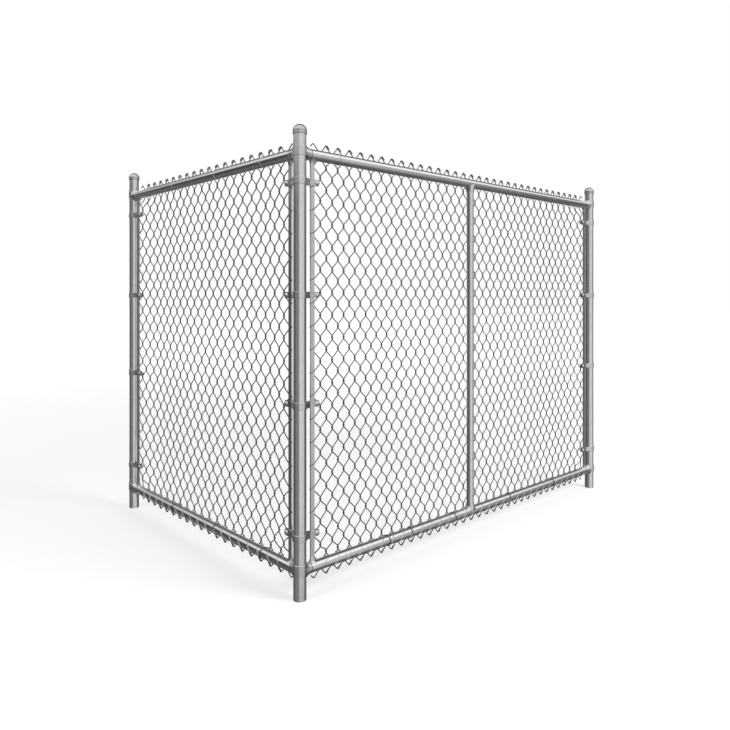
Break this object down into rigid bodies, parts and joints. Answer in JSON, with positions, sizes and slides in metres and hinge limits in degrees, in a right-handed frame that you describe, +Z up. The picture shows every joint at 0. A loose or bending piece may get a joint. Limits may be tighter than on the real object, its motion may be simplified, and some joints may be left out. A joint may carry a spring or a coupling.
{
  "type": "chain link fence corner section",
  "caption": "Corner of a galvanised chain link fence: round capped posts, top and bottom rails, and woven wire fabric clamped to the posts with flat bars and bands",
  "frame": {"origin": "centre of the corner post's foot, on the ground", "axes": "+X along the longer bay, +Y along the shorter bay, +Z up; the outer side of the corner faces -X and -Y"},
  "size_m": [1.9842, 1.379, 1.622],
  "materials": {
    "post_steel": "hot-dip galvanised, dull with faint spangle",
    "cap_metal": "cast, matt grey",
    "rail_steel": "galvanised tube, satin",
    "fitting_steel": "pressed and galvanised, dull",
    "bar_steel": "galvanised flat bar, pale",
    "wire_steel": "zinc-coated wire, weathered"
  },
  "bodies": {
    "root": {"corner_post": "post_steel", "right_end_post": "post_steel", "left_end_post": "post_steel", "post_caps": "cap_metal", "right_top_rail": "rail_steel", "right_bottom_rail": "rail_steel", "left_top_rail": "rail_steel", "left_bottom_rail": "rail_steel", "middle_upright": "rail_steel", "right_top_rail_cups": "fitting_steel", "right_bottom_rail_cups": "fitting_steel", "left_top_rail_cups": "fitting_steel", "left_bottom_rail_cups": "fitting_steel", "corner_rail_bands": "fitting_steel", "right_end_rail_bands": "fitting_steel", "left_end_rail_bands": "fitting_steel", "corner_tension_bands": "fitting_steel", "corner_tension_back_straps": "fitting_steel", "right_end_tension_bands": "fitting_steel", "left_end_tension_bands": "fitting_steel", "right_corner_tension_bar": "bar_steel", "right_end_tension_bar": "bar_steel", "left_corner_tension_bar": "bar_steel", "left_end_tension_bar": "bar_steel", "right_fabric_front_wires": "wire_steel", "right_fabric_back_wires": "wire_steel", "left_fabric_front_wires": "wire_steel", "left_fabric_back_wires": "wire_steel"}
  },
  "joints": []
}
